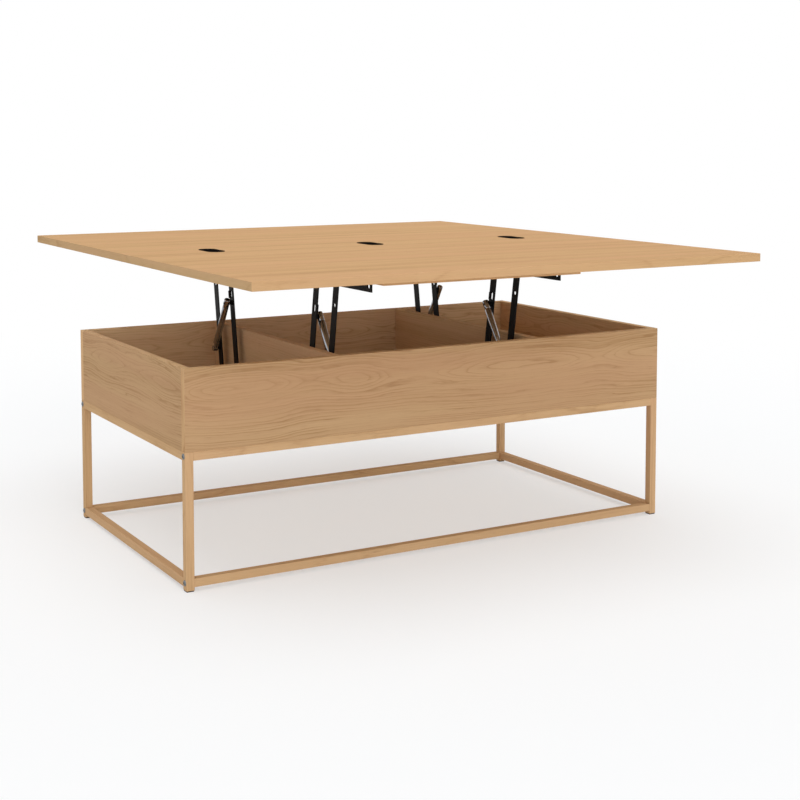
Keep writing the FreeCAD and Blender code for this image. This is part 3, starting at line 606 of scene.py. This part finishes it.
class Turned:
    """A turned part measured along its axis, which is reversed where needed to point out of its head."""

    def __init__(self, points, axis):
        self.centre, heights, radii = along_axis(points, axis)
        rings = list(zip(heights, radii))
        self.head = max(radii)
        wide = [height for height, radius in rings if radius > self.head - SAME_SIZE]
        middle = (min(heights) + max(heights)) / 2
        sign = 1.0 if sum(wide) / len(wide) >= middle - SAME_SIZE else -1.0
        self.axis = axis * sign
        self.bottom, self.top = sorted((sign * min(heights), sign * max(heights)))
        self.wide = sorted({round(sign * height, 6) for height in wide})
        self.shank = min(radius for radius in radii if radius > LEAST_SHANK)

    def placed(self, shape):
        turn = Z_AXIS.rotation_difference(self.axis).to_matrix().to_4x4()
        bmesh.ops.transform(shape, matrix=Matrix.Translation(self.centre) @ turn, verts=shape.verts)
        return shape


def turned_parts(node, axis):
    return [Turned(points, axis) for points in solids_of(node)]


def socket_bolt(part):
    """A button-headed bolt with a hexagon socket."""
    foot = part.wide[0]
    profile = [(0.0, part.bottom), (part.shank, part.bottom), (part.shank, foot)]
    bolt = revolved(profile + domed(part.head, foot, part.top, BOLT_RIM))
    hexagon = polygon(part.head * SOCKET_SHARE, 6)
    return part.placed(carved(bolt, prism(hexagon, part.top - SOCKET_DEPTH, part.top + SOCKET_OVERRUN)))


def rivet(part):
    """A rivet or stop pin whose ends are domed where they show."""
    if len(part.wide) == 4:
        first, second = part.wide[1:3]
        head = domed(part.head, part.bottom, first, RIVET_RIM)
        lower = [(radius, first + part.bottom - height) for radius, height in head]
        profile = [*reversed(lower), (part.shank, first), (part.shank, second)]
        return part.placed(revolved(profile + domed(part.head, second, part.top, RIVET_RIM)))
    foot = part.wide[0]
    profile = [(0.0, part.bottom)]
    if foot > part.bottom + SAME_SIZE:
        profile += [(part.shank, part.bottom), (part.shank, foot)]
        return part.placed(revolved(profile + domed(part.head, foot, part.top, RIVET_RIM)))
    return part.placed(revolved(profile + domed(part.head, foot, part.top, part.top - foot - PIN_CROWN)))


def cross_recess(part, share, depth):
    """The cutter of a cross recess in the part's head, narrower at its foot."""
    outline = cross(part.head * share, CROSS_WING)
    return prism(outline, part.top - depth, part.top + CROSS_OVERRUN, CROSS_TAPER)


def cross_screw(part):
    """A pan-headed wood screw with a cross recess."""
    foot = part.wide[0]
    profile = [(0.0, part.bottom), (part.shank, part.bottom + SCREW_POINT), (part.shank, foot)]
    screw = revolved(profile + domed(part.head, foot, part.top, SCREW_RIM))
    return part.placed(carved(screw, cross_recess(part, PAN_CROSS_SHARE, PAN_CROSS_DEPTH)))


def sunk_screw(part):
    """A countersunk screw with a cross recess, its head level with the hinge plate."""
    neck = part.top - (part.head - part.shank)
    profile = [(0.0, part.bottom), (part.shank, part.bottom + SCREW_POINT), (part.shank, neck)]
    profile += [(part.head, part.top - SUNK_EASE), (part.head - SUNK_EASE, part.top), (0.0, part.top)]
    return part.placed(carved(revolved(profile), cross_recess(part, SUNK_CROSS_SHARE, SUNK_CROSS_DEPTH)))


def make_fasteners():
    rows = [
        ("frame_bolts", "base", X_AXIS, socket_bolt, ZINC, "bolt_zinc"),
        ("base_pivot_pins", "base", X_AXIS, rivet, BLACK, "black_steel"),
        ("base_bracket_screws", "base", X_AXIS, cross_screw, BLACK, "black_steel"),
        ("front_top_rivets", "front_top", X_AXIS, rivet, BLACK, "black_steel"),
        ("back_top_rivets", "back_support", X_AXIS, rivet, BLACK, "black_steel"),
        ("front_bracket_screws", "front_top", Z_AXIS, cross_screw, BLACK, "black_steel"),
        ("front_hinge_screws", "front_top", Z_AXIS, sunk_screw, HINGE_BLACK, "black_steel"),
        ("back_hinge_screws", "back_top", Z_AXIS, sunk_screw, HINGE_BLACK, "black_steel"),
    ]
    for node, body, axis, shape, material, slot in rows:
        shapes = [shape(part) for part in turned_parts(node, axis)]
        piece(f"{node}_detail", shapes, material, body, node)


# The struts' barrels: the cap's round and dimple, the eased mouth, and the bore for the stud
CAP_ROUND = 1.8 * MM
CAP_TURNS = (0.0, 0.52, 1.05, 1.57)
CAP_DIMPLE_RADIUS = 1.6 * MM
CAP_DIMPLE_DEPTH = 0.5 * MM
MOUTH_EASE = 0.5 * MM
STUD_BORE_RADIUS = 3.1 * MM
STUD_BORE_STEPS = 24
# Place from the barrel's end, depth and half width of the crimp at its foot and of the groove under its cap
CRIMP = (6.0 * MM, 0.45 * MM, 0.9 * MM)
CAP_GROOVE = (20.0 * MM, 0.30 * MM, 0.5 * MM)


def strut_barrel(node, up, pivot):
    """A strut's barrel: open and crimped at its foot, grooved under its rounded cap, bored for its stud."""
    centre, heights, radii = along_axis(solids_of(node)[0], up)
    bottom, top = min(heights), max(heights)
    outside = max(radii)
    inside = min(radius for radius, height in zip(radii, heights) if height < bottom + SAME_SIZE)
    walls = [height for radius, height in zip(radii, heights) if abs(radius - inside) < SAME_SIZE]
    profile = [(0.0, max(walls)), (inside, max(walls)), (inside, bottom), (outside - MOUTH_EASE, bottom)]
    profile += [(outside, bottom + MOUTH_EASE)]
    for middle, depth, half in ((bottom + CRIMP[0], *CRIMP[1:]), (top - CAP_GROOVE[0], *CAP_GROOVE[1:])):
        profile += [(outside, middle - 2 * half), (outside - depth, middle - half)]
        profile += [(outside - depth, middle + half), (outside, middle + 2 * half)]
    for angle in CAP_TURNS:
        inset = CAP_ROUND * (1 - math.cos(angle))
        profile += [(outside - inset, top - CAP_ROUND * (1 - math.sin(angle)))]
    profile += [(CAP_DIMPLE_RADIUS, top), (0.0, top - CAP_DIMPLE_DEPTH)]
    stud = prism(polygon(STUD_BORE_RADIUS, STUD_BORE_STEPS), -2 * outside, 2 * outside)
    across = Matrix.Translation((0.0, 0.0, pivot.dot(up))) @ Matrix.Rotation(math.pi / 2, 4, "Y")
    bmesh.ops.transform(stud, matrix=across, verts=stud.verts)
    shape = carved(revolved(profile), stud)
    turn = Matrix.Translation(centre) @ Z_AXIS.rotation_difference(up).to_matrix().to_4x4()
    bmesh.ops.transform(shape, matrix=turn, verts=shape.verts)
    return shape


def make_struts():
    for end in ENDS:
        up = -Vector(JOINTS[f"{end}_strut_slide"]["axis"])
        pivot = Vector(JOINTS[f"{end}_strut_swing"]["pos_m"])
        for side in SIDES:
            node = f"{end}_{side}_lift_strut_tube"
            shape = strut_barrel(node, up, pivot)
            piece(f"{node}_detail", [shape], CHROME, f"{end}_strut_tubes", node)


make_fasteners()
make_struts()


# Stage, light and camera
FLOOR_SIZE = 60.0
FLOOR_FADE_START = 1.0
FLOOR_FADE_END = 3.2
FLOOR_SHADE = 0.44
FLOOR_COLOUR = (0.945, 0.96, 0.975, 1.0)
ZENITH_LEVEL = 0.45
HORIZON_LEVEL = 0.88
SUNS = {
    "soft_key": (1.11, 60.0, Vector((0.06, 0.10, -1.0))),
    "front_fill": (0.92, 40.0, Vector((0.22, 1.0, -0.26))),
}
CAMERA_PLACE = Vector((-1.4963, -2.7188, 0.8345))
CAMERA_YAW = 30.016
CAMERA_TILT = 4.268
CAMERA_LENS = 65.01
CAMERA_SHIFT = -0.2


def seen_directly(tree):
    """One for rays from the camera, mirrors and glass, so that these all show the white studio."""
    path = tree.nodes.new("ShaderNodeLightPath").outputs
    mirrored = maths(tree, "MAXIMUM", path["Is Glossy Ray"], path["Is Transmission Ray"])
    return maths(tree, "MAXIMUM", path["Is Camera Ray"], mirrored)


def make_floor():
    mesh = bpy.data.meshes.new("studio_floor")
    half = FLOOR_SIZE / 2
    corners = [(-half, -half, 0.0), (half, -half, 0.0), (half, half, 0.0), (-half, half, 0.0)]
    mesh.from_pydata(corners, [], [(0, 1, 2, 3)])
    floor = bpy.data.objects.new("studio_floor", mesh)
    bpy.context.scene.collection.objects.link(floor)
    made = bpy.data.materials.new("studio_floor")
    made.use_nodes = True
    tree = made.node_tree
    tree.nodes.clear()
    white = add(tree, "ShaderNodeEmission", {"Color": WHITE, "Strength": 1.0})
    matt = add(tree, "ShaderNodeBsdfDiffuse", {"Color": FLOOR_COLOUR})
    place = tree.nodes.new("ShaderNodeTexCoord").outputs["Object"]
    distance = add(tree, "ShaderNodeVectorMath", {0: place}, operation="LENGTH").outputs["Value"]
    limits = {"From Min": FLOOR_FADE_START, "From Max": FLOOR_FADE_END, "To Min": FLOOR_SHADE, "To Max": 1.0}
    fade = add(tree, "ShaderNodeMapRange", {"Value": distance, **limits}, interpolation_type="SMOOTHSTEP")
    lift = maths(tree, "MULTIPLY", seen_directly(tree), fade.outputs["Result"])
    surface = tree.nodes.new("ShaderNodeMixShader")
    put(tree, surface.inputs[0], lift)
    tree.links.new(matt.outputs[0], surface.inputs[1])
    tree.links.new(white.outputs[0], surface.inputs[2])
    output = tree.nodes.new("ShaderNodeOutputMaterial")
    tree.links.new(surface.outputs[0], output.inputs[0])
    mesh.materials.append(made)


def make_light():
    world = bpy.data.worlds.new("studio")
    bpy.context.scene.world = world
    world.use_nodes = True
    tree = world.node_tree
    sky = tree.nodes["Background"]
    sky.inputs["Color"].default_value = WHITE
    direction = tree.nodes.new("ShaderNodeTexCoord").outputs["Generated"]
    height = add(tree, "ShaderNodeSeparateXYZ", {"Vector": direction}).outputs["Z"]
    level = mixed(tree, maths(tree, "MAXIMUM", height, 0.0), HORIZON_LEVEL, ZENITH_LEVEL)
    put(tree, sky.inputs["Strength"], mixed(tree, seen_directly(tree), level, 1.0))
    for name, (energy, spread, direction) in SUNS.items():
        sun = bpy.data.lights.new(name, "SUN")
        sun.energy = energy
        sun.angle = math.radians(spread)
        lamp = bpy.data.objects.new(name, sun)
        lamp.rotation_euler = direction.to_track_quat("-Z", "Y").to_euler()
        bpy.context.scene.collection.objects.link(lamp)


def make_camera():
    lens = bpy.data.cameras.new("camera")
    lens.lens = CAMERA_LENS
    lens.shift_y = CAMERA_SHIFT
    camera = bpy.data.objects.new("camera", lens)
    camera.location = CAMERA_PLACE
    camera.rotation_euler = (math.radians(90.0 - CAMERA_TILT), 0.0, -math.radians(CAMERA_YAW))
    bpy.context.scene.collection.objects.link(camera)
    bpy.context.scene.camera = camera


make_floor()
make_light()
make_camera()
bpy.context.scene.view_settings.view_transform = "Standard"
